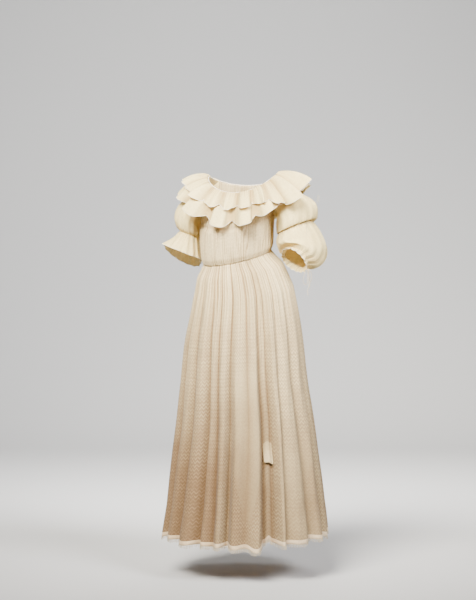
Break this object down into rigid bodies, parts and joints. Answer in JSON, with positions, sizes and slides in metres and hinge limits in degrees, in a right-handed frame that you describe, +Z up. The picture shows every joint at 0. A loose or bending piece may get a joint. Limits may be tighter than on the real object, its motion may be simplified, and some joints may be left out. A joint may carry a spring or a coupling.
{
  "type": "chemise gown",
  "caption": "Full-length chemise gown of figured cotton muslin with a gathered bodice, full skirt, elbow puff sleeves and a two-tier neck ruffle.",
  "frame": {"origin": "midway between the two points where the gown rests on the wearer's shoulders, at the sides of its neckline", "axes": "+Z up, -Y towards the gown's front, +X towards the wearer's left; the gown has the hollow form that it has when it is worn"},
  "size_m": [0.5843, 0.5503, 1.2797],
  "materials": {
    "figured_muslin": "matte sheer woven cotton with small figured bands",
    "sheer_muslin": "matte sheer plain woven cotton",
    "cotton_thread": "matte cotton tape and thread"
  },
  "bodies": {
    "root": {"bodice_front": "figured_muslin", "bodice_back": "figured_muslin", "skirt_front": "figured_muslin", "skirt_back": "figured_muslin", "sleeve_left": "sheer_muslin", "sleeve_right": "sheer_muslin", "neck_ruffle_upper": "sheer_muslin", "neck_ruffle_lower": "sheer_muslin", "hem_fringe_front": "cotton_thread", "hem_fringe_back": "cotton_thread", "front_tab": "figured_muslin", "left_tie_knot": "cotton_thread", "left_tie_loop_front": "cotton_thread", "left_tie_loop_back": "cotton_thread", "left_tie_end_long": "cotton_thread", "left_tie_end_short": "cotton_thread"}
  },
  "joints": []
}
